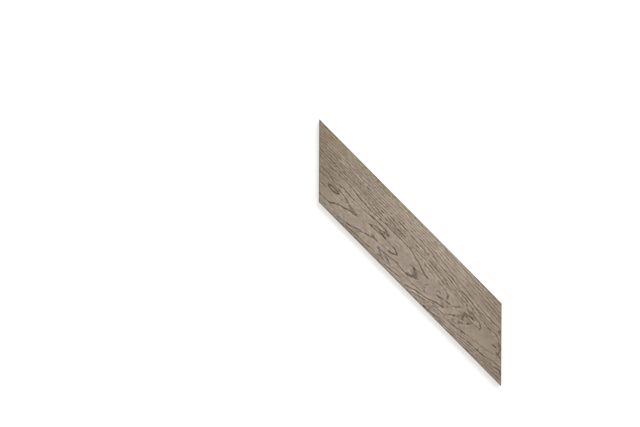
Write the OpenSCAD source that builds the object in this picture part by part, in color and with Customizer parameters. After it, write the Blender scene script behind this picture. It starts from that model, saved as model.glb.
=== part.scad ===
// Chevron parquet plank, right-hand, in solid oak.
// A planed board whose two ends are cut parallel at the mitre angle. All four sides are grooved for
// loose splines, the edges of the face are bevelled, and the back has lengthwise relief grooves.
// Origin: middle of the back. +X runs along the long edges, +Y across the board, and +Z out of the
// finished face.

/* [Board] */
// Width of the finished face, square to the long edges
face_width = 120; // [100:1:200]
// Length of each long edge of the finished face
long_edge = 530; // [350:5:900]
// Thickness from the back to the finished face
thickness = 20; // [18:0.5:26]
// Angle between the cut ends and the long edges, in degrees
mitre_angle = 45; // [40:1:65]

/* [Face bevel] */
// Width of the bevel, measured along the face
bevel_width = 1.2; // [0.5:0.1:3]
// Height of the bevel, measured down the side
bevel_height = 1.2; // [0.5:0.1:2.5]

/* [Spline groove] */
// Height of the groove
groove_height = 5; // [4:0.1:6]
// Depth of the groove from the edge of the face
groove_depth = 9; // [5:0.5:14]
// Thickness of the lower lip, from the back to the groove
lower_lip = 7; // [5:0.5:8]
// How far the lower lip stands back from the upper one, so that the face closes tight
lip_setback = 0.4; // [0.1:0.1:1]
// Lead-in chamfer at the mouth of the groove
lead_in = 0.6; // [0.2:0.1:1]

/* [Back] */
// Chamfer along the edges of the back
back_chamfer = 1; // [0.5:0.1:2]
// Number of relief grooves
relief_count = 4; // [1:1:4]
// Width of a relief groove at the back face
relief_width = 10; // [6:0.5:14]
// Depth of a relief groove
relief_depth = 2.5; // [1:0.5:4]
// How much narrower a relief groove is at its bottom, on each side
relief_slope = 1.2; // [0:0.1:2]
// Distance between the middles of neighbouring relief grooves
relief_pitch = 22; // [16:0.5:24]

/* [Hidden] */

// How far a profile runs on past the board before the other profile trims it
overrun = 5;

groove_bottom = lower_lip;
groove_top = lower_lip + groove_height;

// Distance between the two cut ends, square to them
end_span = long_edge * sin(mitre_angle);
// Length of a cut end, along the cut
end_length = face_width / sin(mitre_angle);
// Length from tip to tip, along the long edges
tip_to_tip = long_edge + face_width / tan(mitre_angle);

// One machined side, from the edge of the back up to the face, at this distance from the middle
function side_profile(half_span) = [
    [half_span - lip_setback - back_chamfer, 0],
    [half_span - lip_setback, back_chamfer],
    [half_span - lip_setback, groove_bottom - lead_in],
    [half_span - lip_setback - lead_in, groove_bottom],
    [half_span - groove_depth, groove_bottom],
    [half_span - groove_depth, groove_top],
    [half_span - lead_in, groove_top],
    [half_span, groove_top + lead_in],
    [half_span, thickness - bevel_height],
    [half_span - bevel_width, thickness]
];

function mirrored(points) = [for (i = [len(points) - 1 : -1 : 0]) [-points[i].x, points[i].y]];

// Section through the board between two opposite sides
module board_section(half_span) {
    side = side_profile(half_span);
    polygon(concat(side, mirrored(side)));
}

// Stock with that section, lying along X
module profiled_stock(span, length) {
    rotate([90, 0, 90])
        linear_extrude(height = length, center = true)
            board_section(span / 2);
}

// Tapered channel that a moulder knife leaves in the back, lying along X
module relief_groove(length) {
    mouth = relief_width / 2 + relief_slope * overrun / relief_depth;
    floor_half = relief_width / 2 - relief_slope;
    rotate([90, 0, 90])
        linear_extrude(height = length, center = true)
            polygon([
                [-mouth, -overrun],
                [mouth, -overrun],
                [floor_half, relief_depth],
                [-floor_half, relief_depth]
            ]);
}

module plank() {
    color("#96897a")
        difference() {
            intersection() {
                profiled_stock(face_width, tip_to_tip + 2 * overrun);
                rotate([0, 0, -mitre_angle])
                    profiled_stock(end_span, end_length + 2 * end_span);
            }
            for (i = [0 : relief_count - 1])
                translate([0, (i - (relief_count - 1) / 2) * relief_pitch, 0])
                    relief_groove(tip_to_tip + 2 * overrun);
        }
}

plank();
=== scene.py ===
import math
import bpy
import numpy as np
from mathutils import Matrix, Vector


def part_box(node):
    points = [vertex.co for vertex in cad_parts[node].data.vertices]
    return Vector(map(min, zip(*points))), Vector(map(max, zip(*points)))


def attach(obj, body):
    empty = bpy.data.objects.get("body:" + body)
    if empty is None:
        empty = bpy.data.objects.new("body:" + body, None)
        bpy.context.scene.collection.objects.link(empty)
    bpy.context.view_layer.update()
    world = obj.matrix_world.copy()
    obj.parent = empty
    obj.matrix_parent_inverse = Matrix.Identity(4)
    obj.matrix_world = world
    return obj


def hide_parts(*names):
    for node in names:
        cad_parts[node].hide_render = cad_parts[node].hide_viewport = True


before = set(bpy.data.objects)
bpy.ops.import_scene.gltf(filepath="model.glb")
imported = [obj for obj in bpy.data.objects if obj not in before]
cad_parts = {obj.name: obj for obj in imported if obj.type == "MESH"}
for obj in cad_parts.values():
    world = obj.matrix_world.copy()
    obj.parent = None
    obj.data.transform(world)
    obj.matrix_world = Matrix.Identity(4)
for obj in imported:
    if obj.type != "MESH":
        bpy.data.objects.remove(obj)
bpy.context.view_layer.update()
low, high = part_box("plank")
print("frame loaded, plank is", [round(b - a, 4) for a, b in zip(low, high)], "m")

mm = 0.001


# The board, in millimetres. Its length, width and thickness come from the frame.
plank = {
    "mitreAngle": math.radians(45),
    "bevel": 1.2,  # plan width and height of the bevel round the face
    "bevelWear": 0.15,  # share of the face's wear that the middle of the bevel takes on
    "lipSetback": 0.4,  # how far the lower lip stands back
    "grooveDepth": 9.0,
    "grooveBottom": 7.0,
    "grooveTop": 12.0,
    "leadIn": 0.6,
    "backChamfer": 1.0,
    "reliefPlaces": (-33.0, -11.0, 11.0, 33.0),  # middles of the grooves in the back
    "reliefMouth": 5.0,  # half width at the back
    "reliefFloor": 3.8,  # half width at the bottom
    "reliefDepth": 2.5,
    "faceRows": 350,  # lines of points across the face, a third of a millimetre apart
    "faceColumns": 240,
    "backStep": 3.2,  # coarser spacing on the sides and the back
    "backColumns": 60,
    "backMargin": 0.5,  # the back's own points stop this far inside the spline grooves
    "sharpAngle": math.radians(32),  # edges that turn by more than this stay crisp
}
length, width, thick = [(b - a) / mm for a, b in zip(low, high)]
halfWidth = width / 2
lean = 1 / math.tan(plank["mitreAngle"])  # how far an end leans along the board for each step across
halfRun = (length - width * lean) / 2  # half of a long edge


# Growth rings on the face, read off in millimetres from the middle of the board.
# Each number is a ring, counted outwards from the innermost eye. Its lines, where that ring starts,
# are runs of x and y.
figure = {
    "rings": {
        0: [(-218, -20, -212, -17, -203, -15.5, -194, -17, -188, -19.5, -194, -23, -203, -24.5, -212, -23,
             -218, -20)],
        1: [(-262, -15, -248, -15, -225, -12.5, -195, -12.5, -180, -14, -160, -18, -140, -22.5, -129, -23.5,
             -140, -26.5, -160, -30, -178, -38, -185, -42, -193, -45, -218, -45.5)],
        2: [(-275, -4, -240, -4, -228, -6, -212, -8, -195, -5.5, -130, -6, -110, -4, -90, -3, -70, -3.5,
             -58, -6.5, -66, -10, -85, -12.5, -97, -15, -90, -18, -70, -16.5, -40, -16.5, -28, -17,
             -20, -19, -15, -22, -20, -25.5, -30, -28.5, -45, -30.5, -62, -31, -77, -34, -90, -37,
             -100, -41.5, -112, -46, -125, -48.5, -150, -51, -200, -53)],
        3: [(-290, 10, -268, 10, -250, 8.5, -225, 8, -200, 9.5, -175, 8.5, -165, 7, -150, 4.5, -125, 3.5,
             -110, 4.5, -50, 6, -20, 5.5, 0, 4.5, 10, 2, 20, -1, 30, -3, 42, -6.5, 52, -10, 64, -12,
             45, -13.5, 34, -16, 27, -19, 38, -23, 46, -27, 38, -31, 28, -34, 15, -36, 0, -34, -10, -33.5,
             -25, -36, -40, -37.5, -55, -39.5, -46, -42, -38, -45, -48, -49, -62, -50.5, -100, -51.5,
             -115, -53.5, -130, -56, -155, -58.5)],
        4: [(-290, 14, -200, 14, -160, 13, -130, 11, -115, 9.5, -10, 9, 10, 7.5, 30, 7, 40, 5, 52, 3.5,
             65, 0.5, 80, -1, 100, -2.5, 110, -4.5, 117, -8, 121, -13, 117, -18, 104, -22, 92, -28, 80, -35,
             65, -39.5, 50, -41.5, 30, -42, 15, -43.5, 0, -45.5, -15, -48, -30, -51, -45, -54, -65, -56,
             -100, -57.5)],
        5: [(-290, 20, -260, 19, -210, 18, -125, 17, -112, 14.5, -100, 13, -50, 12.5, 30, 12, 50, 10,
             70, 8.5, 90, 5.5, 105, 4, 125, 2, 140, -1, 149, -6.5, 144, -11, 135, -13, 130, -18, 131, -24,
             126, -29.5, 112, -33, 100, -38, 85, -42, 68, -45.5, 55, -48.5, 42, -53, 28, -57, 10, -60)],
        6: [(-290, 25, -268, 23, -240, 23, -200, 21, -130, 20, -90, 18.5, -55, 16.5, -15, 16, 60, 15,
             75, 12, 95, 9.5, 113, 7, 135, 4, 150, 2.5, 168, 0, 176, -3.5, 184, -6, 172, -8.5, 164, -14,
             165, -21, 150, -28, 146, -34, 138, -40, 118, -41, 108, -45, 85, -49, 65, -54, 45, -59)],
        7: [(-290, 28, -240, 26, -160, 24, -80, 23, -60, 22, -45, 20.5, 0, 19.5, 60, 17.5, 85, 14.5,
             100, 13, 113, 10.5, 130, 8.5, 152, 8, 160, 6, 170, 3, 190, 1.5, 205, -2, 211, -8, 200, -11,
             188, -16, 184, -22, 175, -28, 170, -34, 158, -40, 140, -43.5, 125, -45.5, 110, -49, 95, -53,
             75, -58)],
        8: [(-290, 31, -240, 28.5, -200, 29, -160, 28, -50, 28, -20, 26, 20, 24, 40, 22, 60, 20, 90, 19,
             110, 17, 135, 14, 155, 13, 175, 8.5, 190, 8, 215, 6, 243, 6, 258, 0, 270, -10, 274, -19,
             262, -26, 240, -31, 212, -33.5, 190, -39, 175, -42, 150, -45, 120, -49.5, 105, -53, 88, -58)],
        9: [(-290, 34, -240, 33, -160, 31.5, -125, 33, 0, 33, 20, 32, 35, 30, 60, 26, 75, 24, 95, 23.5,
             105, 22, 125, 21, 150, 19, 165, 17, 185, 14, 205, 10.5, 230, 9, 255, 6),
            (300, -33, 290, -35, 275, -38, 255, -41.5, 222, -44.5, 190, -47.5, 150, -50, 135, -52.5,
             120, -55, 105, -59)],
        10: [(-300, 39, -262, 38, -240, 37, -200, 38, -180, 36.5, -30, 38, 10, 37, 40, 36, 65, 34, 90, 31,
              130, 28, 150, 26, 175, 23, 205, 20, 245, 20),
             (305, -40, 288, -43, 235, -47, 200, -51, 160, -55, 135, -58.5)],
        11: [(-300, 43, -110, 43, 0, 42, 50, 41, 100, 37.5, 150, 35.5, 190, 33, 240, 30),
             (310, -46, 280, -48, 220, -53, 190, -56, 160, -59)],
        12: [(-300, 47.5, -200, 47, 0, 46.5, 60, 46, 100, 44, 150, 41.5, 200, 39, 235, 37),
             (320, -52, 280, -54, 240, -57)],
        13: [(-310, 52, -200, 51.5, -20, 51, 60, 51, 120, 47.5, 160, 47, 210, 44)],
        14: [(-310, 57, -100, 56, 20, 56, 112, 53.5, 150, 52, 205, 50)],
        15: [(-310, 61, -100, 60.5, 100, 59.5, 200, 56)],
    },
    # Places between two rings, with how many rings out they lie
    "between": [
        (-203, -20, -0.5), (-170, -24, 0.5), (-240, -28, 0.45), (-205, -33, 0.6), (-90, -24, 1.5),
        (-140, -36, 1.5), (-40, -23, 1.55), (5, -16, 2.45), (5, -27, 2.5), (85, -16, 3.5), (60, -28, 3.45),
        (125, -25, 4.55), (140, -22, 5.5), (152, -14, 5.5), (175, -16, 6.5), (230, -20, 7.5),
        (205, -25, 7.4), (255, -20, 7.75), (290, -22, 8.5), (225, -40, 8.45), (-230, -50, 1.5),
    ],
    "stretch": 7.0,  # the figure runs this many times further along the board than across it
    "step": 2.2,  # spacing of the points taken along a line
    "give": 0.15,  # how far the smooth field may miss a point
    "axis": -20.0,  # the flames point along this line
    "pithBelow": 60.0,  # the heart of the tree lies this far under the face
    "ringWidth": 3.0,  # radial width of a ring
    # Waviness of the lines: shift in millimetres, cell along and across, seed
    "feather": ((2.0, 9.0, 1.2, 13), (1.2, 4.0, 0.6, 14)),  # along the board, which frays the tips
    "wander": ((0.3, 30.0, 6.0, 11), (0.3, 7.0, 2.5, 12)),  # across the board
    "spacings": (2.0, 40.0),  # the least and the most that two rings lie apart, in millimetres
    "sideSpacing": 4.2,  # how far apart they count as lying on the sides and the back
    # In the lists below, a place has its x, its y, its reach along and across the board and an amount.
    # Lines round these places move across the board by the amount, in millimetres
    "nudges": [
        (-150, -35, 36, 8, -2), (-110, -50, 40, 7, -1.4), (-190, -47, 30, 8, -0.8), (0, -38, 38, 8, -1.5),
        (-30, -24, 20, 6, -0.6), (50, -32, 18, 6, -1.6), (225, -20, 36, 8, -2.4), (250, -44, 25, 5, -1),
        (130, -12, 15, 5, -2), (130, -54, 20, 5, 1.5),
    ],
    # How dark the lines are: everywhere, and how much darker, or below zero fainter, round these places
    "plainStrength": 0.7,
    "mostStrength": 1.3,  # and at most
    "strong": [
        (-80, 27, 320, 12, 0.35), (0, 52, 400, 9, 0.05), (-145, -23, 18, 5, 0.5), (-68, -12, 16, 6, 0.3),
        (-44, -44, 16, 7, -0.1), (36, -22, 12, 6, -0.35), (-93, -14, 10, 3, -0.5), (100, -40, 30, 7, 0.4),
        (167, -13, 8, 10, 0.4), (150, -29, 10, 6, 0.3), (178, -2, 18, 5, 0.4), (140, 19, 24, 3, 0.2),
        (148, 10, 20, 5, 0.3), (90, 24, 30, 3, 0.3), (-55, 17, 22, 3, 0.1), (-255, 20, 26, 3, 0.2),
        (190, 13, 24, 4, 0.3), (10, 25, 40, 4, 0.2), (60, 33, 50, 4, 0.15), (-260, 26.5, 45, 1.8, -0.7),
        (-175, 24.3, 45, 1.8, -0.6), (-270, 30.5, 25, 2, -0.5), (-70, 45, 120, 4, -0.35),
        (90, 41, 80, 5, -0.35), (118, 29, 48, 3, -0.5), (185, 34, 45, 6, -0.3), (130, -50, 60, 6, 0.25),
        (-75, -56, 45, 3, -0.5), (-50, -54, 20, 3, -0.4), (275, -53, 25, 5, -0.4), (-215, 21, 16, 4, -0.4),
        (-172, 27, 12, 3, -0.5), (-15, 20, 30, 2.5, -0.4), (-70, 38, 40, 2.5, -0.5),
    ],
    # Places where lines are fainter, and where the wood between them is smooth
    "calm": [
        (3, -17, 18, 7, 0.9), (86, -16, 22, 9, 0.9), (-118, -36, 22, 6, 0.9), (232, -22, 38, 9, 1),
        (-205, -36, 22, 5, 0.9), (-212, 2, 18, 4, 0.7), (60, -30, 12, 8, 0.5), (150, -38, 10, 4, 0.4),
        (136, -8, 8, 7, 0.6), (138, -26, 8, 6, 0.6), (-70, -38, 12, 5, 0.7), (-262, 46, 12, 12, 0.6),
        (-215, 49, 30, 6, 0.5), (-155, 46, 12, 6, 0.5), (-85, 46, 26, 5, 0.5), (-30, 3, 12, 3, 0.6),
        (-270, -8, 18, 4, 0.4), (225, 12, 20, 4, 0.5), (150, 36, 20, 5, 0.4), (218, -3, 16, 4, 0.6),
        (-110, -24, 24, 6, 0.5), (-240, -20, 14, 5, 0.4), (60, -22, 14, 8, 0.4), (115, -12, 10, 4, 0.4),
        (84, -30, 16, 6, 0.9), (262, -43, 30, 6, 0.4),
    ],
    "calmFade": 0.85,  # how much of their darkness the lines lose there, and beside a stroke
    # The strongest lines and marks by half width, each with its darkness and then a run of x and y
    "strokes": {
        0.6: [
            (0.6, -57, -37.4, -50, -37.8), (0.5, 26, -22.8, 33, -23), (0.5, 30, -26.4, 37, -26.8),
        ],
        0.7: [
            (0.4, -157, -5.8, -136, -6.2), (0.45, -228, -13.5, -215, -13.2, -195, -13.2),
            (0.45, -206, -53, -180, -52.6, -151, -53), (0.45, -258, 13.8, -238, 13.8),
            (0.5, -235, 14, -210, 14.2, -195, 14.2), (0.45, -170, 13.2, -152, 13.2),
            (0.5, -180, 17.4, -160, 17.2), (0.6, -264, 37, -258, 37.5), (0.45, -290, 38.4, -276, 38.2),
            (0.45, -207, 37.2, -190, 37, -166, 36), (0.5, -182, 27.4, -163, 27.2),
            (0.45, -236, 28.6, -215, 28.2), (0.6, -190, 31.8, -165, 31.6), (0.4, -228, 33, -205, 32.6),
            (0.35, -234, 54.4, -200, 54.6), (0.35, -180, 54.6, -150, 54.4), (0.45, -144, 31.6, -137, 31.8),
            (0.4, -126, 33, -95, 32.8, -80, 33), (0.45, -132, 27.6, -112, 27.8),
            (0.35, -108, 28.3, -80, 28.2), (0.5, -139, 18.4, -125, 17.3), (0.45, -88, 13.3, -73, 13.2),
            (0.45, -107, 18.6, -90, 18.6), (0.45, -38, 15.2, -28, 14.8),
            (0.6, -77, -17.6, -55, -17.2, -31, -16.6), (0.5, -70, -51, -55, -50, -38, -49.2),
            (0.7, -55, -40.4, -47, -40.2), (0.65, -47, -38, -39, -38.2), (0.7, -48, -43.2, -40, -42.6),
            (0.8, -34, -40, -24, -40.4), (0.75, -31, -43, -21, -42.6), (0.7, -25, -45, -15, -44.8),
            (0.65, -40, -45.2, -33, -45.2), (0.6, -36, -48, -27, -47.8), (0.5, -42, -48.6, -33, -49.2),
            (0.4, -8, -43, 8, -42.4, 20, -42), (0.4, 50, -11, 64, -12.4), (0.65, 26, -30.4, 40, -31),
            (0.4, 15, 6.8, 30, 6.6), (0.45, 64, -0.4, 76, -0.8), (0.5, 64, -33.6, 77, -35),
            (0.5, 135, -45, 118, -46.4, 105, -48.6, 90, -52.2), (0.45, 141, -14, 131, -14.6, 126, -16.4),
            (0.5, 160, -42.5, 148, -43.4, 138, -44), (0.4, 42, 21.2, 49, 20.8), (0.65, 16, 12.3, 32, 12.3),
            (0.5, 58, 9, 70, 8, 82, 6.8), (0.4, 122, 1.8, 136, 1), (0.5, 160, 12, 170, 10, 182, 7.4),
            (0.5, 158, 6, 170, 4, 182, 3), (0.5, 76, 19.4, 90, 19), (0.4, 10, 20, 30, 19, 45, 17.8),
            (0.4, 100, 37.4, 122, 36.4), (0.4, 140, 35, 160, 34), (0.4, 38, 42, 56, 41),
            (0.35, 10, 52, 40, 52), (0.45, -47, 50.8, -22, 50.9), (0.5, -82, 31.9, -60, 31.9, -40, 32.4),
            (0.35, 90, 50, 130, 48), (0.45, 190, 8.6, 200, 6.4, 213, 5.4), (0.4, 160, -50, 180, -49),
            (0.35, 246, -48, 256, -50, 258, -54),
        ],
        0.8: [
            (0.75, -256, -4.5, -233, -4.5, -222, -6.5, -213, -8.2),
            (0.35, -213, -8.2, -205, -7, -200, -5.2), (0.45, -133, -26, -142, -26.6),
            (0.7, -234, -28, -216, -28.2), (0.7, -280, 19.2, -260, 18.8, -236, 18.6),
            (0.65, -272, 23.2, -255, 23, -237, 23),
            (0.6, -270, 9.6, -253, 9, -242, 7.4, -228, 8, -205, 9, -180, 8.3, -160, 7),
            (0.55, -240, 37, -214, 37), (0.55, -149, 40.4, -138, 40.2), (0.75, -158, 31.8, -147, 31.6),
            (0.85, -65, 28.2, -45, 28, -32, 27.2, -24, 26.6), (0.5, -124, 16.4, -117, 16),
            (0.5, -116, 15, -106, 13.8), (0.7, -105, 13.3, -92, 13.2), (0.5, -68, 17.6, -54, 16.6),
            (0.55, -38, 15.6, -30, 15.2), (0.6, -21, 16.4, -15, 16), (0.65, -3, 19.4, 7, 19.2),
            (0.6, -64, 22.2, -55, 21.8), (0.75, -125, 3.8, -110, 4.3, -75, 5),
            (0.5, -137, -6, -125, -5.4, -112, -4), (0.6, -34, -28.8, -47, -30.6, -57, -31),
            (0.6, -128, -47.8, -140, -50.2, -157, -51.4),
            (0.8, -130, -54.5, -122, -52.4, -105, -51.2, -70, -51.4),
            (0.65, 17, -18, 28, -16.6, 38, -15.4, 48, -14), (0.65, 29, -20, 40, -20.6),
            (0.85, 35, -23, 43, -23.4), (0.75, 38, -25.6, 50, -25.6), (0.5, 52, 3, 60, 0.8),
            (0.5, 73, -18, 70, -23, 67, -25), (0.55, 70.5, -27.5, 71.5, -32), (0.35, 66, -32, 67, -36),
            (0.4, 100, -3.6, 110, -4.4), (0.6, 111, -18.6, 120, -17.6, 126, -17),
            (0.35, 95, -20.4, 101, -21), (0.3, 93, -24.6, 100, -24.8), (0.6, 39, -53.6, 28, -57),
            (0.6, 92, -46, 80, -48.6, 68, -51.6, 58, -53.6), (0.4, 140, -2.6, 149, -5),
            (0.6, 168, -10.4, 176, -10, 184, -9.8), (0.85, 38, 15.4, 52, 15.2, 62, 15),
            (0.7, 62, 14.2, 70, 12.8, 80, 12), (0.5, 95, 9.4, 105, 8.6, 112, 7.8),
            (0.75, 39, 11, 48, 10.4, 56, 9.6), (0.5, 98, 4.8, 108, 4.4, 118, 3.2),
            (0.7, 63, 19.8, 75, 19.5), (0.5, 104, 17, 116, 16.4), (0.5, -82, 56.4, -56, 56.2),
            (0.6, -34, 38, -22, 37.8), (0.55, 170, 15.4, 185, 13, 200, 11),
            (0.5, 163, 24.6, 185, 22.4, 203, 20.8), (0.45, 186, -12, 195, -9.6, 211, -9.4),
            (0.45, 205, 8, 225, 4, 238, 6), (0.45, 196, -37, 205, -35.6, 214, -33.4),
            (0.55, 205, -43.8, 220, -43.4, 235, -42.4), (0.5, 256, -40.6, 265, -37.6, 276, -36, 288, -34.8),
            (0.5, 283, -49.6, 290, -48.4, 297, -47), (0.55, 190, -52.2, 205, -50.4, 222, -48.2),
        ],
        0.9: [
            (0.8, -200, -5.2, -190, -4.6, -175, -5.2, -157, -5.8),
            (0.7, -195, -13.2, -183, -13.8, -172, -16, -160, -18.5), (0.7, -24, 26.4, -5, 25, 18, 24.4),
            (0.75, -80, 23.3, -71, 23.2), (0.9, -52, 16.3, -39, 16.2), (0.8, -50, 20.8, -45, 20.2),
            (0.75, -163, 7.3, -150, 4.6, -125, 3.6), (0.75, -75, 5.2, -50, 6, -20, 5.6, -5, 5),
            (0.6, -5, 5, 6, 3.6, 15, 0.8), (0.6, 38, -7, 47, -8.4),
            (0.9, -112, -4, -90, -3, -68, -3.4, -60, -5.6), (0.75, -88, -12, -76, -11, -63, -8.2),
            (0.8, -101, -18.2, -90, -18.2, -79, -17.8), (0.65, -86, -29, -74, -30.2, -63, -31.2),
            (0.65, -63, -31.4, -80, -33.5, -90, -36.5, -98, -40),
            (0.6, -98, -40, -108, -41, -116, -44, -124, -47.2, -136, -48.4),
            (0.8, -18, -54, -2, -52.6, 12, -51.4, 20, -49), (0.9, 25, -17.2, 33, -18.2),
            (0.85, 36, -28.6, 46, -28), (0.85, 24, -33.4, 36, -33.2), (0.6, 37, 3.8, 52, 3.9),
            (0.6, 93, -16, 98.5, -12, 104, -16), (0.8, 68, -44.8, 58, -47.6, 48, -51),
            (0.6, 118, -39.4, 112, -41.6, 106, -45), (0.5, 110, -39, 103, -42, 96, -45.6),
            (0.7, 168, -6.2, 178, -5.8, 187, -5.6), (0.5, 157, -25, 150, -28.6, 143, -33),
            (0.7, 16, 32.4, 26, 31.8, 36, 30.8), (0.65, 60, 25.6, 72, 24.2, 90, 24.2, 101, 23.8),
            (0.6, 101, 23.6, 113, 21.6, 126, 20.6), (0.75, 128, 18.8, 142, 18.6, 155, 18.4),
            (0.65, 155, 18.2, 172, 16.2, 188, 14.8), (0.65, 132, 15, 143, 14.4, 155, 13.4),
            (0.65, 138, 8.2, 147, 8.2, 157, 7.8), (0.6, 87, 11.2, 93, 10.4), (0.6, 86, 5.4, 95, 5.2),
            (0.6, 160, 2.6, 170, 1, 180, 0.6, 190, -0.6), (0.8, 92, 18.5, 103, 18),
            (0.55, 118, 15.6, 128, 15.4), (0.55, -106, 51.4, -102, 51.2), (0.45, -65, 42, -60, 42),
            (0.7, -6, 33.3, 12, 32.8), (0.65, 203, 20.6, 222, 20.2, 241, 20.4),
            (0.7, 92, -57.6, 110, -57, 130, -56.4, 145, -55.4), (0.6, 145, -55.4, 165, -54.6, 182, -53),
        ],
        1.0: [
            (0.75, -152, -28, -166, -31.5, -178, -36, -187, -43, -194, -45, -205, -45.3, -217, -45),
            (0.75, 14, 0.4, 20, -0.6, 27, -1.4), (0.7, 29, -4, 38, -5.6), (0.75, 48, -10, 62, -10.6),
            (0.7, -39, -37, -25, -36, -10, -33.6, 2, -33.4, 14, -35.6, 22, -36.2, 31, -33.8),
            (0.65, 109, -34.6, 103, -36.8, 98, -38.8), (0.8, 98, -38.8, 90, -42, 78, -44, 68, -44.6),
            (0.85, 48, -51, 38, -53.6), (0.7, 157, -12.6, 162, -12.4), (0.5, 163, -20, 160, -24),
            (0.75, 196, -37, 188, -38, 178, -40.4, 168, -41.6, 160, -42.4), (0.55, 27, 24.8, 32, 23.6),
            (0.8, -31, 33.4, -26, 33.4), (0.7, 200, -0.4, 207, -3, 211, -6.6), (0.5, 274, -23, 276, -25.5),
            (0.8, 235, -42.2, 246, -41.6, 256, -40.8), (0.7, 286, -42.6, 294, -41.4, 302, -40.2),
            (0.7, 301, -42.4, 307, -44.4),
        ],
        1.1: [
            (1, -75, -14.2, -66, -14.8, -56, -15.4),
            (0.85, -33, -16.6, -25, -18, -19.4, -20, -17.4, -22, -20, -24.6, -26, -27, -34, -28.6),
            (0.7, 149, -6.4, 146, -10, 142, -12), (0.75, 183, -14.6, 187.5, -16.6, 184.6, -20),
            (0.75, 153.4, -27, 149, -29.4), (0.75, 146, -31.6, 143.6, -33),
            (0.7, 38, 28.4, 45, 27.8, 51, 26.6), (0.7, 172, -1, 182, -4, 190, -4.6),
            (0.65, 239, 7, 246, 7.2), (0.75, 252.6, -11.8, 260, -12.2),
        ],
        1.2: [
            (0.3, -212, -20.4, -195, -20.4), (0.65, -142, -25.8, -152, -28), (0.35, -21, -21, -15, -22),
            (0.75, 110, -4.6, 116, -6.6, 120, -10.4), (0.8, 125, -30, 118, -32.4, 109, -34.4),
            (0.65, 20, 22.4, 31, 22.6),
        ],
        1.3: [
            (0.75, -218, -20.4, -212, -18, -203, -17, -194, -18, -188, -20, -194, -22.6, -203, -23.8,
             -212, -22.8, -218, -20.4),
            (0.3, -72, 16, -40, 15.4), (0.6, -66, -4.5, -56, -7), (0.95, 126, -17, 130, -16.6),
            (0.85, 271, -19, 277, -20.6), (0.8, 278, -21, 286, -21.4),
        ],
        1.4: [
            (0.65, -154, -20, -148, -21.2), (0.85, 103, -22.4, 109, -20.8),
            (0.6, 165, -7, 168, -12, 169, -17, 171, -21), (0.65, 178, -26, 172, -28.6, 169, -31),
        ],
        1.5: [
            (0.4, -169, -16.6, -163, -19.4, -165, -21.6),
        ],
        1.6: [
            (0.3, -218, -19.4, -212, -20.6), (0.35, 154, -33.6, 161, -36),
        ],
        2.2: [
            (0.45, -149, -22.4, -140, -23.4, -132, -23), (0.35, 114, -22, 121, -26),
        ],
    },
    "endStretch": 2.0,  # a stroke fades this many times more slowly along the board than across it
    "besideReach": 2.6,  # how far it clears the wood beside it and spreads the painted highlight there, in millimetres
    # Broad differences in shade
    "shades": [
        (-300, 44, 38, 22, -0.2), (-268, 12, 38, 20, -0.35), (-240, -14, 36, 20, -0.3),
        (-222, -42, 30, 16, -0.2), (-225, 2, 26, 26, -0.25), (-220, 32, 40, 12, -0.05),
        (20, -10, 110, 34, 0.12), (250, 0, 60, 70, -0.25), (170, -14, 24, 14, -0.1),
        (-160, 15, 60, 8, -0.1), (-30, 35, 120, 18, 0.1), (30, 52, 120, 16, 0.3),
        # the first place on the next line, a long band at the lower edge, is painted shade along that edge
        (-120, -58, 130, 7, -0.35), (265, 0, 12, 12, -0.3), (295, -50, 26, 14, -0.35),
        (38, -24, 14, 10, -0.3), (-48, -20, 16, 6, -0.15), (-56, 15, 24, 4, -0.15), (-10, -52, 40, 8, 0.18),
        (228, -27, 42, 9, 0.2), (120, -48, 60, 8, 0.2), (3, -18, 30, 10, -0.15), (84, -17, 26, 9, -0.22),
        (60, -30, 16, 7, -0.25), (150, 37, 40, 8, -0.2), (250, 2, 20, 9, 0.25),
    ],
    # How warm the brown is: everywhere, and how much warmer, or below zero cooler, round these places
    "plainWarmth": 0.5,
    "warm": [
        (-300, 46, 70, 36, 0.5), (-250, -10, 50, 40, 0.3), (0, 62, 300, 14, 0.2), (240, 20, 50, 40, 0.2),
        (2, -18, 45, 12, -0.5), (86, -17, 32, 10, -0.45), (-115, -36, 30, 8, -0.35), (60, -30, 25, 8, -0.3),
        (-68, -38, 20, 6, -0.25), (-20, -50, 40, 7, -0.25), (-30, 3, 40, 6, -0.1),
    ],
}


def spacedAlong(line):
    # evenly spaced points along one ring line, measured with the stretch taken out
    line = np.reshape(line, (-1, 2))
    pieces = np.hypot(np.diff(line[:, 0]) / figure["stretch"], np.diff(line[:, 1]))
    run = np.r_[0, np.cumsum(pieces)]
    places = np.linspace(0, run[-1], max(2, math.ceil(run[-1] / figure["step"]) + 1))
    return np.c_[np.interp(places, run, line[:, 0]), np.interp(places, run, line[:, 1])]


def bend(squared):
    return 0.5 * squared * np.log(squared + 1e-9)  # thin plate


def squaredGap(a, b):
    return ((a[:, None] - b[None]) ** 2).sum(-1)


def fitRings():
    # a smooth thin-plate field that counts rings and passes through every line
    points, counts = [], []
    for count, lines in figure["rings"].items():
        for line in lines:
            spaced = spacedAlong(line)
            points.append(spaced)
            counts.append(np.full(len(spaced), float(count)))
    between = np.array(figure["between"])
    points = np.vstack(points + [between[:, :2]]) / (figure["stretch"], 1)
    counts = np.hstack(counts + [between[:, 2]])
    size = len(points)
    plane = np.c_[np.ones(size), points]
    system = np.zeros((size + 3, size + 3))
    system[:size, :size] = bend(squaredGap(points, points)) + figure["give"] * np.eye(size)
    system[:size, size:] = plane
    system[size:, :size] = plane.T
    return points, np.linalg.solve(system, np.r_[counts, 0, 0, 0])


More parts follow.
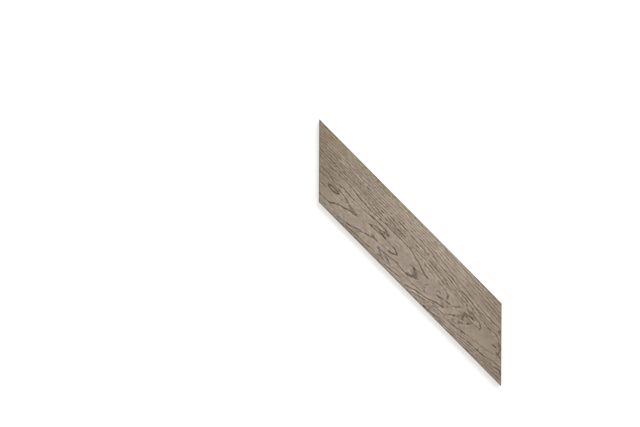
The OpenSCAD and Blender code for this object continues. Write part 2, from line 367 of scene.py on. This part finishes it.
def latticeNoise(x, y, cellX, cellY, seed):
    # random heights on a lattice, blended smoothly, from -1 to 1
    u = (x + length) / cellX
    v = (y + width) / cellY
    shape = int(2 * length / cellX) + 3, int(2 * width / cellY) + 3
    heights = np.random.default_rng(seed).uniform(-1, 1, shape)
    i, j = np.floor(u).astype(int), np.floor(v).astype(int)
    a, b = u - i, v - j
    a, b = a * a * (3 - 2 * a), b * b * (3 - 2 * b)
    near = heights[i, j] * (1 - b) + heights[i, j + 1] * b
    far = heights[i + 1, j] * (1 - b) + heights[i + 1, j + 1] * b
    return near * (1 - a) + far * a


def spots(x, y, places):
    # soft round-ended spots, added up
    total = np.zeros_like(x)
    for atX, atY, along, across, amount in places:
        total += amount * np.exp(-((x - atX) / along) ** 2 - ((y - atY) / across) ** 2)
    return total


def waved(x, y):
    # the places that the lines are looked up at, slightly shifted so that they waver and fray
    movedX, movedY = x.copy(), y.copy()
    for amount, along, across, seed in figure["feather"]:
        movedX += amount * latticeNoise(x, y, along, across, seed)
    for amount, along, across, seed in figure["wander"]:
        movedY += amount * latticeNoise(x, y, along, across, seed)
    return movedX, movedY - spots(x, y, figure["nudges"])


ringPoints, ringWeights = fitRings()


def ringsAt(x, y, z):
    # how many rings out a point lies: the figure on the face, less what lies above the point
    movedX, movedY = waved(x.ravel(), y.ravel())
    places = np.c_[movedX / figure["stretch"], movedY]
    atOnce = 8000  # points, to spare memory
    counts = []
    for start in range(0, len(places), atOnce):
        some = places[start:start + atOnce]
        counts.append(bend(squaredGap(some, ringPoints)) @ ringWeights[:-3]
                      + ringWeights[-3] + some @ ringWeights[-2:])
    steep = figure["pithBelow"] / np.hypot(figure["pithBelow"], y - figure["axis"])
    return np.hstack(counts).reshape(x.shape) - (thick - z) * steep / figure["ringWidth"]


def spacingOf(alongRate, acrossRate):
    # how far apart two rings lie on the surface, in millimetres
    return np.clip(1 / np.hypot(alongRate, acrossRate).clip(0.01), *figure["spacings"])


def strokesAt(x, y):
    # darkness of the strokes, and how near they are: 1 on the middle line of a full one
    movedX, movedY = (v.ravel() for v in waved(x, y))
    dark, near = np.zeros(x.size), np.zeros(x.size)
    reach = 8.0  # a stroke has faded out by here
    strokes = [(wide, *stroke) for wide, some in figure["strokes"].items() for stroke in some]
    for wide, amount, *line in strokes:
        line = np.reshape(line, (-1, 2))
        (lowX, lowY), (highX, highY) = np.min(line, axis=0) - reach, np.max(line, axis=0) + reach
        here = np.flatnonzero((movedX > lowX) & (movedX < highX) & (movedY > lowY) & (movedY < highY))
        px, py = movedX[here], movedY[here]
        away = np.full(len(here), reach)
        for (startX, startY), (endX, endY) in zip(line[:-1], line[1:]):
            alongX, alongY = endX - startX, endY - startY
            share = ((px - startX) * alongX + (py - startY) * alongY) / (alongX ** 2 + alongY ** 2)
            share = share.clip(0, 1)
            offX, offY = px - startX - share * alongX, py - startY - share * alongY
            away = np.minimum(away, np.hypot(offX / figure["endStretch"], offY))
        dark[here] = np.maximum(dark[here], amount * np.exp(-(away / wide) ** 2))
        # a faint stroke clears the wood beside it almost as much as a dark one
        near[here] = np.maximum(near[here], amount ** 0.3 * np.exp(-(away / figure["besideReach"]) ** 2))
    return dark.reshape(x.shape), near.reshape(x.shape)


# Brushing wears the soft early wood of each ring down. Depths in millimetres.
brushing = {
    "depth": 0.24,  # of the darkest strokes
    "ringShare": 0.7,  # of that depth, along the other ring lines
    "ringReach": 0.85,  # width of the worn band on the soft side of a line
    "ringReachShare": 0.07,  # and how much wider it gets where rings lie far apart
    "hardReach": 0.5,  # width of its steep side
    "fibres": ((0.02, 70.0, 1.5, 21), (0.03, 26.0, 0.7, 22)),  # depth, cell along, cell across, seed
    "patchy": (0.35, 48.0, 6.0, 23),
}


def smoothStep(value):
    value = np.clip(value, 0, 1)
    return value * value * (3 - 2 * value)


def wornDepth(x, y, rings, spacing, strokes):
    out = rings - np.floor(rings)
    soft = 1 - smoothStep(out * spacing / (brushing["ringReach"] + brushing["ringReachShare"] * spacing))
    hard = 1 - smoothStep((1 - out) * spacing / brushing["hardReach"])
    amount, along, across, seed = brushing["patchy"]
    patchy = 1 - amount * (1 + latticeNoise(x, y, along, across, seed))
    lines = brushing["ringShare"] * np.maximum(soft, hard) * patchy
    depth = brushing["depth"] * np.maximum(lines, strokes)
    for amount, along, across, seed in brushing["fibres"]:
        depth += amount * (1 + latticeNoise(x, y, along, across, seed)) / 2
    return depth


# Points of the board's outline at one height. A run is measured along the board on the centre line,
# so that a place with the same run and the same y lies on the same slanted line at every inset.
def halfRunAt(inset):
    return halfRun - inset / math.sin(plank["mitreAngle"])


def outline(inset, runs, rows):
    # x and y round the board, anticlockwise from the corner at the near end and low y
    side, reach = halfWidth - inset, halfRunAt(inset)
    runs = np.r_[-reach, runs[1:-1], reach]
    rows = np.r_[-side, rows[1:-1], side]
    run = np.r_[runs[:-1], np.full(len(rows) - 1, reach), runs[:0:-1], np.full(len(rows) - 1, -reach)]
    y = np.r_[np.full(len(runs) - 1, -side), rows[:-1], np.full(len(runs) - 1, side), rows[:0:-1]]
    return run - y * lean, y


def backHeight(y):
    # how high the back lies over the floor: the relief grooves
    height = np.zeros_like(y)
    for middle in plank["reliefPlaces"]:
        wall = (plank["reliefMouth"] - np.abs(y - middle)) / (plank["reliefMouth"] - plank["reliefFloor"])
        height = np.maximum(height, plank["reliefDepth"] * np.clip(wall, 0, 1))
    return height


def backRows():
    # rows across the back that meet every edge of the relief grooves
    span = halfWidth - plank["grooveDepth"] - plank["backMargin"]
    chamferMeets = plank["backChamfer"] / plank["reliefDepth"]
    offs = (plank["reliefMouth"],
            plank["reliefMouth"] - chamferMeets * (plank["reliefMouth"] - plank["reliefFloor"]),
            plank["reliefFloor"])
    marks = [middle + sign * off for middle in plank["reliefPlaces"] for sign in (-1, 1) for off in offs]
    marks = sorted(marks + [-span, span])
    rows = [-halfWidth]
    for a, b in zip(marks[:-1], marks[1:]):
        rows += list(np.linspace(a, b, max(1, round((b - a) / plank["backStep"])) + 1)[:-1])
    return np.array(rows + [span, halfWidth])


def closed(ring):
    # a ring's values with the first one again at the end
    return np.r_[ring, ring[0]]


class Shell:
    # points and faces of one closed mesh, collected ring by ring
    def __init__(self):
        self.points, self.faces, self.finish = [], [], []
        self.count = 0

    def add(self, x, y, z):
        # new points, and their numbers
        x, y, z = np.broadcast_arrays(np.asarray(x, float), y, z)
        self.points.append(np.c_[x.ravel(), y.ravel(), z.ravel()])
        numbers = np.arange(self.count, self.count + x.size).reshape(x.shape)
        self.count += x.size
        return numbers

    def quads(self, a, b, c, d, finish):
        self.faces += np.c_[a.ravel(), b.ravel(), c.ravel(), d.ravel()].tolist()
        self.finish += [finish] * a.size if np.isscalar(finish) else list(finish)

    def band(self, upper, lower, finish):
        # quads between two rings with as many points
        self.quads(lower, np.roll(lower, -1), np.roll(upper, -1), upper, finish)

    def sheet(self, grid, finish, flip=False):
        a, b, c, d = grid[:-1, :-1], grid[1:, :-1], grid[1:, 1:], grid[:-1, 1:]
        if flip:
            b, d = d, b
        self.quads(a, b, c, d, finish)

    def stitch(self, upper, upperAt, lower, lowerAt, finish):
        # triangles between two rows with different numbers of points, matched by their places
        i = j = 0
        while i < len(upper) - 1 or j < len(lower) - 1:
            if j == len(lower) - 1 or (i < len(upper) - 1 and upperAt[i + 1] <= lowerAt[j + 1]):
                self.faces.append([int(upper[i]), int(lower[j]), int(upper[i + 1])])
                i += 1
            else:
                self.faces.append([int(upper[i]), int(lower[j]), int(lower[j + 1])])
                j += 1
            self.finish.append(finish)


# The finishes by number, as the faces of the mesh take them
onFace, onBevel, onSides, onEnds, onBack = range(5)


def buildPlank():
    shell = Shell()
    bevel, wear = plank["bevel"], plank["bevelWear"]
    runs = np.linspace(-halfRunAt(bevel), halfRunAt(bevel), plank["faceColumns"] + 1)
    rows = np.linspace(bevel - halfWidth, halfWidth - bevel, plank["faceRows"] + 1)

    # the brushed face
    run, y = np.meshgrid(runs, rows, indexing="ij")
    x = run - y * lean
    rings = ringsAt(x, y, np.full_like(x, thick))
    alongRate = np.gradient(rings, runs, axis=0)
    acrossRate = np.gradient(rings, rows, axis=1) + alongRate * lean
    spacing = spacingOf(alongRate, acrossRate)
    dark, near = strokesAt(x, y)
    depth = wornDepth(x, y, rings, spacing, dark)
    print("face figure:", rings.size, "points, worn down by up to", round(float(depth.max()), 2), "mm")
    face = shell.add(x, y, thick - depth)
    shell.sheet(face, onFace)

    # the bevel leans out from the worn edge of the face
    edge = np.r_[face[:-1, 0], face[-1, :-1], face[:0:-1, -1], face[0, :0:-1]]
    worn = depth.ravel()[edge]
    outer = outline(0.0, runs, rows)
    for axis in (0, 1):
        shell.points[0][edge, axis] += (outer[axis] - shell.points[0][edge, axis]) * (worn / bevel)
    middle = shell.add(*outline(bevel / 2, runs, rows), thick - bevel / 2 - worn * wear)
    bottom = shell.add(*outer, thick - bevel)
    shell.band(edge, middle, onBevel)
    shell.band(middle, bottom, onBevel)

    # the machined sides, from the upper lip down to the back
    backY = backRows()
    backRun = np.linspace(-halfRun, halfRun, plank["backColumns"] + 1)
    inner = halfRunAt(plank["grooveDepth"]) - 2 * plank["backMargin"]
    backRun[1:-1] = np.linspace(-inner, inner, plank["backColumns"] - 1)
    n, m = len(runs) - 1, len(rows) - 1
    p, q = len(backRun) - 1, len(backY) - 1
    sideFinishes = ([onSides] * p + [onEnds] * q) * 2
    setback = plank["lipSetback"]
    profile = (
        (0.0, plank["grooveTop"] + plank["leadIn"]),
        (plank["leadIn"], plank["grooveTop"]),
        (plank["grooveDepth"], plank["grooveTop"]),
        (plank["grooveDepth"], plank["grooveBottom"]),
        (setback + plank["leadIn"], plank["grooveBottom"]),
        (setback, plank["grooveBottom"] - plank["leadIn"]),
        (setback, plank["backChamfer"]),
        (setback + plank["backChamfer"], 0.0),
    )
    above = None
    for inset, height in profile:
        lip = outline(inset, backRun, backY)
        onEnd = np.abs(lip[1]) < halfWidth - plank["grooveDepth"]
        ring = shell.add(*lip, np.where(onEnd, np.maximum(height, backHeight(lip[1])), height))
        if above is None:
            # the fine ring under the bevel meets this one on the flat of the upper lip
            fineEnds, coarseEnds = np.cumsum([0, n, m, n, m]), np.cumsum([0, p, q, p, q])
            for side in range(4):
                axis, sign = side % 2, 1 if side < 2 else -1
                fine = slice(fineEnds[side], fineEnds[side + 1] + 1)
                coarse = slice(coarseEnds[side], coarseEnds[side + 1] + 1)
                shell.stitch(closed(bottom)[fine], sign * closed(outer[axis])[fine],
                             closed(ring)[coarse], sign * closed(lip[axis])[coarse],
                             (onSides, onEnds)[axis])
        else:
            shell.band(above, ring, sideFinishes)
        above = ring

    # the back, with its relief grooves
    grid = np.empty((p + 1, q + 1), int)
    grid[:-1, 0] = above[:p]
    grid[-1, :-1] = above[p:p + q]
    grid[1:, -1] = above[p + q:2 * p + q][::-1]
    grid[0, 1:] = above[2 * p + q:][::-1]
    run, y = np.meshgrid(backRun[1:-1], backY[1:-1], indexing="ij")
    grid[1:-1, 1:-1] = shell.add(run - y * lean, y, backHeight(y))
    shell.sheet(grid, onBack, flip=True)

    points = np.vstack(shell.points)
    mesh = bpy.data.meshes.new("oakPlank")
    mesh.from_pydata((points * mm).tolist(), [], shell.faces)
    mesh.polygons.foreach_set("material_index", shell.finish)
    mesh.polygons.foreach_set("use_smooth", [True] * len(shell.faces))
    noteFigure(mesh, points, rings, spacing, dark, near)
    mesh.validate()
    mesh.set_sharp_from_angle(angle=plank["sharpAngle"])
    board = bpy.data.objects.new("oakBoard", mesh)
    bpy.context.collection.objects.link(board)
    print("plank mesh:", len(points), "points,", sum(len(f) - 2 for f in shell.faces), "triangles")
    return board


def noteFigure(mesh, points, rings, spacing, dark, near):
    # what the finishes read at each point. The face's own values are known, and the rest are added here.
    rest = points[rings.size:]
    restRings = ringsAt(*rest.T)
    restDark, restNear = strokesAt(rest[:, 0], rest[:, 1])
    x, y = points[:, 0], points[:, 1]
    calm = spots(x, y, figure["calm"]).clip(0, 1)
    near = np.r_[near.ravel(), restNear]
    strength = (figure["plainStrength"] + spots(x, y, figure["strong"])).clip(0, figure["mostStrength"])
    values = {
        "ringCount": np.r_[rings.ravel(), restRings],
        "ringSpacing": np.r_[spacing.ravel(), np.full(len(rest), figure["sideSpacing"])],
        "lineStrength": strength * (1 - figure["calmFade"] * calm) * (1 - figure["calmFade"] * near),
        "calm": calm,
        "strokes": np.r_[dark.ravel(), restDark],
        "beside": near,
        "shade": spots(x, y, figure["shades"]),
        "warmth": (figure["plainWarmth"] + spots(x, y, figure["warm"])).clip(0, 1),
    }
    for name, numbers in values.items():
        layer = mesh.attributes.new(name, "FLOAT", "POINT")
        layer.data.foreach_set("value", numbers.astype(np.float32))


# Finishes. Colours are as a photograph shows them, 0 to 255.
def linear(colour):
    return [((c / 255 + 0.055) / 1.055) ** 2.4 if c > 10 else c / 255 / 12.92 for c in colour] + [1.0]


def feed(tree, socket, value):
    # a socket takes a link from another node, or a plain value
    if isinstance(value, bpy.types.NodeSocket):
        tree.links.new(value, socket)
    else:
        socket.default_value = value


def node(tree, kind, inputs=(), **settings):
    made = tree.nodes.new(kind)
    for name, value in settings.items():
        setattr(made, name, value)
    for place, value in dict(inputs).items():
        feed(tree, made.inputs[place], value)
    return made


def calc(tree, operation, *values):
    return node(tree, "ShaderNodeMath", enumerate(values), operation=operation).outputs[0]


def times(tree, a, b):
    return calc(tree, "MULTIPLY", a, b)


def timesPlus(tree, a, b, c):
    return calc(tree, "MULTIPLY_ADD", a, b, c)


def swing(tree, noise, amount, around):
    # a noise that swings by this much about a middle value
    return timesPlus(tree, calc(tree, "SUBTRACT", noise, 0.5), amount, around)


def ramp(tree, value, low, high, start=0.0, end=1.0):
    # eases from start to end as value goes from low to high
    values = enumerate((value, low, high, start, end))
    return node(tree, "ShaderNodeMapRange", values, interpolation_type="SMOOTHSTEP").outputs[0]


def objectPlace(tree):
    return node(tree, "ShaderNodeTexCoord").outputs["Object"]


def noiseFrom(tree, where, detail, roughness=0.5):
    inputs = {"Vector": where, "Scale": 1.0, "Detail": detail, "Roughness": roughness}
    return node(tree, "ShaderNodeTexNoise", inputs, noise_dimensions="3D").outputs["Fac"]


def grainNoise(tree, cells, detail, roughness, shift):
    # noise whose cells measure this many millimetres along X, Y and Z; the shift gives each its own pattern
    inputs = {
        "Vector": objectPlace(tree),
        "Location": (shift, shift * 1.7, shift * 0.6),
        "Scale": [1 / (mm * c) for c in cells],
    }
    return noiseFrom(tree, node(tree, "ShaderNodeMapping", inputs).outputs[0], detail, roughness)


def blend(tree, amount, a, b, how="MIX"):
    inputs = {0: amount, 6: a, 7: b}
    return node(tree, "ShaderNodeMix", inputs, data_type="RGBA", blend_type=how).outputs[2]


def blankMaterial(name):
    material = bpy.data.materials.new(name)
    material.use_nodes = True
    material.node_tree.nodes.clear()
    return material, material.node_tree


def finishWith(tree, colour, roughness, height, sheen=0.5):
    # height is in millimetres
    bump = node(tree, "ShaderNodeBump", {"Strength": 1.0, "Distance": mm, "Height": height})
    shader = node(tree, "ShaderNodeBsdfPrincipled", {
        "Base Color": colour,
        "Roughness": roughness,
        "Specular IOR Level": sheen,
        "Normal": bump.outputs[0],
    })
    node(tree, "ShaderNodeOutputMaterial", {0: shader.outputs[0]})


def boardValue(tree, name):
    return node(tree, "ShaderNodeAttribute", attribute_name=name).outputs["Fac"]


# Noises that more than one finish reads: cells, detail, roughness and shift
raggedness = ((5.0, 1.1, 1.1), 3.0, 0.5, 3.1)
longPores = ((4.6, 0.34, 0.34), 1.0, 0.5, 4.8)


def ringLines(tree, softReach, softShare, hardReach, jitter):
    # 1 on the early wood where a ring starts, easing to 0 in its late wood
    spacing = boardValue(tree, "ringSpacing")
    ragged = grainNoise(tree, *raggedness)
    out = calc(tree, "FRACT", timesPlus(tree, ragged, jitter, boardValue(tree, "ringCount")))
    reach = timesPlus(tree, spacing, softShare, softReach)
    soft = ramp(tree, times(tree, out, spacing), 0.0, reach, 1.0, 0.0)
    back = times(tree, calc(tree, "SUBTRACT", 1.0, out), spacing)
    hard = ramp(tree, back, 0.0, hardReach, 1.0, 0.0)
    return calc(tree, "MAXIMUM", soft, hard)


def pored(tree, early, pores, crowding, rarity):
    # open pores: dark dashes or dots, crowded in the early wood
    threshold = timesPlus(tree, early, -crowding, rarity)
    edge = 0.05  # how softly a pore fades out
    return ramp(tree, calc(tree, "SUBTRACT", grainNoise(tree, *pores), threshold), 0.0, edge)


def woodTones(tree, tone, colours):
    # deep to pale through the mean colour
    made = node(tree, "ShaderNodeValToRGB", {0: tone})
    elements = made.color_ramp.elements
    elements[0].position, elements[0].color = 0.1, linear(colours["deep"])
    elements[1].position, elements[1].color = 0.9, linear(colours["pale"])
    elements.new(0.5).color = linear(colours["mean"])
    return made.outputs[0]


# The face. Each noise has its strength, then its cells in millimetres along, across and through the board,
# its detail, its roughness and its shift.
stain = {
    "pale": (203, 191, 178),
    "mean": (158, 145, 132),
    "deep": (112, 98, 83),
    "line": (60, 42, 24),
    "pore": (58, 43, 28),
    "warmer": (1.0, 0.96, 0.84),  # what the warm places are multiplied by
    "onBevel": (0.36, 0.32, 0.26),  # what the bevel is multiplied by: darker for the stain it holds, and painted shade of the joint
    "clouds": (0.06, (130.0, 22.0, 22.0), 2.0, 0.5, 1.3),
    "streaks": (0.6, (9.0, 1.4, 1.4), 2.0, 0.6, 5.2),
    "fibres": (1.15, (22.0, 0.7, 0.7), 3.0, 0.6, 7.7),
    "ticks": (0.28, (7.0, 1.0, 1.0), 1.0, 0.5, 14.6),
    "tickEdges": (0.54, 0.66),
    "dashes": ((8.0, 1.4, 1.4), 2.0, 0.5, 9.4),  # breaks the lines up, and has no strength of its own
    "ringBreaks": (0.32, 0.6, 0.5, 1.2),  # from and to on the noise, and darkness there
    "strokeBreaks": (0.3, 0.6, 0.92, 1.06),
    "lineEdges": (1.1, 0.04, 0.35, 0.03),  # soft side, more of it for wide rings, hard side, raggedness
    "shades": 0.4,  # how much the broad shades change the tone
    "paintedHighlightBeside": 0.2,  # painted highlight: paler tone beside a stroke, as on the lit edge of its worn groove
    "besideTicks": 0.3,  # and more ticks there
    "calmness": 0.9,  # how much the calm places lose of their streaks
    "lineDarkness": 1.24,
    "poreRarity": (0.14, 0.69),  # how much more crowded pores are in the early wood, and how rare elsewhere
    "poreDarkness": 0.55,
    "roughness": (0.62, 0.78),
    "sheen": 0.25,
    "poreDepth": 0.14,
    "fibreHeight": 0.08,
}


def brushedFace(name="smokedOakFace", tint=None):
    material, tree = blankMaterial(name)
    early = ringLines(tree, *stain["lineEdges"])
    lively = timesPlus(tree, boardValue(tree, "calm"), -stain["calmness"], 1.0)
    beside, strokes = boardValue(tree, "beside"), boardValue(tree, "strokes")
    clouds, streaks, fibres, ticks = (grainNoise(tree, *stain[noise][1:])
                                      for noise in ("clouds", "streaks", "fibres", "ticks"))

    # streaks along the grain, broad clouds of stain, and the shades by place
    tone = swing(tree, streaks, stain["streaks"][0], swing(tree, fibres, stain["fibres"][0], 0.0))
    tone = swing(tree, clouds, stain["clouds"][0], timesPlus(tree, tone, lively, 0.5))
    tone = timesPlus(tree, boardValue(tree, "shade"), stain["shades"], tone)
    # painted highlight: paler tone beside each stroke, as on the lit edge of its worn groove
    tone = timesPlus(tree, beside, stain["paintedHighlightBeside"], tone)
    colour = woodTones(tree, tone, stain)
    colour = blend(tree, boardValue(tree, "warmth"), colour, (*stain["warmer"], 1.0), "MULTIPLY")

    # the early wood takes more stain
    dashes = grainNoise(tree, *stain["dashes"])
    lines = times(tree, early, boardValue(tree, "lineStrength"))
    lines = times(tree, lines, ramp(tree, dashes, *stain["ringBreaks"]))
    lines = calc(tree, "MAXIMUM", lines, times(tree, strokes, ramp(tree, dashes, *stain["strokeBreaks"])))
    tickDarkness = times(tree, calc(tree, "MAXIMUM", lively, beside), stain["ticks"][0])
    tickDarkness = timesPlus(tree, beside, stain["besideTicks"], tickDarkness)
    lines = timesPlus(tree, ramp(tree, ticks, *stain["tickEdges"]), tickDarkness, lines)
    darkened = calc(tree, "MINIMUM", times(tree, lines, stain["lineDarkness"]), 1.0)
    colour = blend(tree, darkened, colour, linear(stain["line"]))
    pores = pored(tree, calc(tree, "MAXIMUM", early, strokes), longPores, *stain["poreRarity"])
    colour = blend(tree, times(tree, pores, stain["poreDarkness"]), colour, linear(stain["pore"]))
    # on the bevel, a tint for the stain it holds and for painted shade of the joint
    if tint:
        colour = blend(tree, 1.0, colour, (*tint, 1.0), "MULTIPLY")

    matt = ramp(tree, calc(tree, "MAXIMUM", early, pores), 0.0, 1.0, *stain["roughness"])
    height = timesPlus(tree, pores, -stain["poreDepth"], times(tree, fibres, stain["fibreHeight"]))
    finishWith(tree, colour, matt, height, stain["sheen"])
    return material


# The sides, the ends and the back, which no stain was brushed on. Noises as above.
raw = {
    "pale": (210, 190, 160),
    "mean": (193, 170, 138),
    "deep": (170, 144, 111),
    "line": (150, 121, 89),
    "pore": (112, 86, 60),
    "clouds": (0.6, (90.0, 16.0, 16.0), 2.0, 0.5, 11.3),
    "fibres": (1.0, (30.0, 0.8, 0.8), 3.0, 0.6, 6.1),
    "lineEdges": (0.9, 0.05, 0.3, 0.12),
    "lineDarkness": 0.55,
    "poreRarity": (0.14, 0.69),
    "poreDarkness": 0.6,
    "poreDepth": 0.12,
    "fibreHeight": 0.06,
    "roughness": 0.72,
    "knifeMarks": (2.1, 0.008),  # spacing and height of the moulder's marks along the board
    "bleedColour": (126, 104, 82),  # stain that ran over the edge of the face
    "bleedHeights": (15.5, 18.8),  # heights between which it shows
    "bleedMost": 0.75,
    "bleedNoise": ((7.0, 7.0, 2.5), 3.0, 0.5, 17.0),
    "bleedEdges": (0.3, 0.65),
}


def boardPlace(tree):
    # the point's own x, y and z on the board, in millimetres
    inputs = {0: objectPlace(tree), "Scale": 1 / mm}
    scaled = node(tree, "ShaderNodeVectorMath", inputs, operation="SCALE")
    return node(tree, "ShaderNodeSeparateXYZ", {0: scaled.outputs[0]}).outputs


def noiseAt(tree, *place):
    return noiseFrom(tree, node(tree, "ShaderNodeCombineXYZ", enumerate(place)).outputs[0], detail=2.0)


def rawColour(tree, tone, early, pores, look):
    # bare wood with its ring lines and pores
    colour = woodTones(tree, tone, raw)
    colour = blend(tree, times(tree, early, look["lineDarkness"]), colour, linear(raw["line"]))
    return blend(tree, times(tree, pores, look["poreDarkness"]), colour, linear(raw["pore"]))


def bledOver(tree, colour, height):
    # a little stain has run down from the face
    reach = ramp(tree, height, *raw["bleedHeights"], 0.0, raw["bleedMost"])
    ragged = ramp(tree, grainNoise(tree, *raw["bleedNoise"]), *raw["bleedEdges"])
    return blend(tree, times(tree, reach, ragged), colour, linear(raw["bleedColour"]))


def machinedOak(name, bled=False):
    # sides and back: long grain with the moulder's faint knife marks across it
    material, tree = blankMaterial(name)
    x, y, z = boardPlace(tree)
    early = ringLines(tree, *raw["lineEdges"])
    clouds, fibres = grainNoise(tree, *raw["clouds"][1:]), grainNoise(tree, *raw["fibres"][1:])
    tone = swing(tree, fibres, raw["fibres"][0], swing(tree, clouds, raw["clouds"][0], 0.5))
    pores = pored(tree, early, longPores, *raw["poreRarity"])
    colour = rawColour(tree, tone, early, pores, raw)
    if bled:
        colour = bledOver(tree, colour, z)
    spacing, marked = raw["knifeMarks"]
    wave = calc(tree, "SINE", times(tree, x, 2 * math.pi / spacing))
    height = timesPlus(tree, pores, -raw["poreDepth"], times(tree, fibres, raw["fibreHeight"]))
    finishWith(tree, colour, raw["roughness"], timesPlus(tree, wave, marked, height))
    return material


# What differs on the end grain
sawn = {
    "clouds": (0.6, (40.0, 14.0, 10.0), 2.0, 0.5, 11.3),
    "middle": 0.4,  # the tone that the noises swing about
    "lineEdges": (0.7, 0.04, 0.25, 0.05),
    "lineDarkness": 0.7,
    "rays": (0.55, 9.0, 0.3),  # width of a pale ray, its length out from the heart, and a shift
    "rayEdges": (0.55, 0.68),
    "rayTone": 0.42,
    "sawMarks": (0.8, 26.0, 4.0),  # spacing of the saw's marks across the cut, their length, and a shift
    "sawTone": 0.5,
    "sawHeight": 0.12,
    "pores": ((0.34, 0.34, 0.34), 0.0, 0.5, 21.0),
    "poreRarity": (0.16, 0.74),
    "poreDarkness": 0.8,
    "poreDepth": 0.15,
    "tint": (0.86, 0.83, 0.78),
    "roughness": 0.82,
}


def sawnEnds(name="sawnOakEnds"):
    # end grain: rings, pale rays that fan out from the heart, round pores and the saw's marks
    material, tree = blankMaterial(name)
    x, y, z = boardPlace(tree)
    early = ringLines(tree, *sawn["lineEdges"])
    outY = calc(tree, "SUBTRACT", y, figure["axis"])
    outZ = calc(tree, "ADD", z, figure["pithBelow"] - thick)
    turn = times(tree, calc(tree, "ARCTAN2", outY, outZ), figure["pithBelow"])
    out = calc(tree, "SQRT", timesPlus(tree, outY, outY, times(tree, outZ, outZ)))
    wide, far, shift = sawn["rays"]
    rays = noiseAt(tree, calc(tree, "DIVIDE", turn, wide), calc(tree, "DIVIDE", out, far), shift)
    wide, far, shift = sawn["sawMarks"]
    across = calc(tree, "DIVIDE", calc(tree, "SUBTRACT", y, x), wide * math.sqrt(2))
    saw = noiseAt(tree, across, calc(tree, "DIVIDE", z, far), shift)
    tone = swing(tree, grainNoise(tree, *sawn["clouds"][1:]), sawn["clouds"][0], sawn["middle"])
    tone = swing(tree, saw, sawn["sawTone"], tone)
    tone = timesPlus(tree, ramp(tree, rays, *sawn["rayEdges"]), sawn["rayTone"], tone)
    pores = pored(tree, early, sawn["pores"], *sawn["poreRarity"])
    colour = rawColour(tree, tone, early, pores, sawn)
    colour = bledOver(tree, blend(tree, 1.0, colour, (*sawn["tint"], 1.0), "MULTIPLY"), z)
    height = timesPlus(tree, pores, -sawn["poreDepth"], times(tree, saw, sawn["sawHeight"]))
    finishWith(tree, colour, sawn["roughness"], height)
    return material


board = buildPlank()
# the bevel's finish is the face's, darkened by a tint that is partly painted shade of the joint
for finish in (brushedFace(), brushedFace("smokedOakBevel", stain["onBevel"]),
               machinedOak("mouldedOakSides", bled=True), sawnEnds(), machinedOak("planedOakBack")):
    board.data.materials.append(finish)
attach(board, "root")
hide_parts("plank")
print("finishes made")


# Floor, light and camera, in metres
studio = {
    "floorSize": 6.0,  # from the middle to each edge
    "floorDrop": 0.0002,  # how far it lies under the board
    "floorColour": (224, 224, 222),
    "floorGlow": (0.45, 0.62),  # under the board, and out where the lamp's light fades
    "glowReach": (0.5, 2.2),  # distances from the middle between which it changes
    "skyStrength": 0.58,
    "keyPower": 43.0,
    "keySize": 1.6,
    "keyFrom": (-0.5, 1.5, 2.4),
    "frameWidth": 1.308,  # of floor across the photograph
    "aim": (-0.1867, -0.0748),  # the point under the middle of the photograph
    "turn": math.radians(45.3),  # how far the board is turned in the photograph
    "lens": 100.0,  # in millimetres, like the next
    "sensor": 36.0,
    "clip": (0.1, 20.0),
}


def seenDirectly(tree):
    path = node(tree, "ShaderNodeLightPath")
    return calc(tree, "MAXIMUM", path.outputs["Is Camera Ray"], path.outputs["Is Glossy Ray"])


def makeFloor():
    size = studio["floorSize"]
    mesh = bpy.data.meshes.new("floor")
    corners = [(-size, -size, 0), (size, -size, 0), (size, size, 0), (-size, size, 0)]
    mesh.from_pydata(corners, [], [(0, 1, 2, 3)])
    floor = bpy.data.objects.new("floor", mesh)
    floor.location.z = low.z - studio["floorDrop"]
    bpy.context.collection.objects.link(floor)
    material, tree = blankMaterial("paleFloor")
    matt = node(tree, "ShaderNodeBsdfDiffuse", {"Color": linear(studio["floorColour"])})
    far = node(tree, "ShaderNodeVectorMath", {0: objectPlace(tree)}, operation="LENGTH").outputs["Value"]
    amount = ramp(tree, far, *studio["glowReach"], *studio["floorGlow"])
    glow = node(tree, "ShaderNodeEmission", {"Strength": times(tree, seenDirectly(tree), amount)})
    both = node(tree, "ShaderNodeAddShader", {0: matt.outputs[0], 1: glow.outputs[0]})
    node(tree, "ShaderNodeOutputMaterial", {0: both.outputs[0]})
    mesh.materials.append(material)


def makeLight():
    world = bpy.data.worlds.new("softRoom")
    world.use_nodes = True
    tree = world.node_tree
    sky = tree.nodes["Background"].inputs
    feed(tree, sky["Color"], (1, 1, 1, 1))
    feed(tree, sky["Strength"], ramp(tree, seenDirectly(tree), 0.0, 1.0, studio["skyStrength"], 1.0))
    bpy.context.scene.world = world
    lamp = bpy.data.lights.new("softbox", "AREA")
    lamp.energy = studio["keyPower"]
    lamp.size = studio["keySize"]
    key = bpy.data.objects.new("softbox", lamp)
    key.location = studio["keyFrom"]
    key.rotation_euler = (-Vector(studio["keyFrom"])).to_track_quat("-Z", "Y").to_euler()
    bpy.context.collection.objects.link(key)


def makeCamera():
    lens = bpy.data.cameras.new("camera")
    lens.lens, lens.sensor_width = studio["lens"], studio["sensor"]
    lens.clip_start, lens.clip_end = studio["clip"]
    distance = studio["frameWidth"] * studio["lens"] / studio["sensor"]
    camera = bpy.data.objects.new("camera", lens)
    camera.location = (*studio["aim"], high.z + distance)
    camera.rotation_euler.z = studio["turn"]
    bpy.context.collection.objects.link(camera)
    bpy.context.scene.camera = camera


makeFloor()
makeLight()
makeCamera()
view = bpy.context.scene.view_settings
view.view_transform = "Standard"
print("studio made")
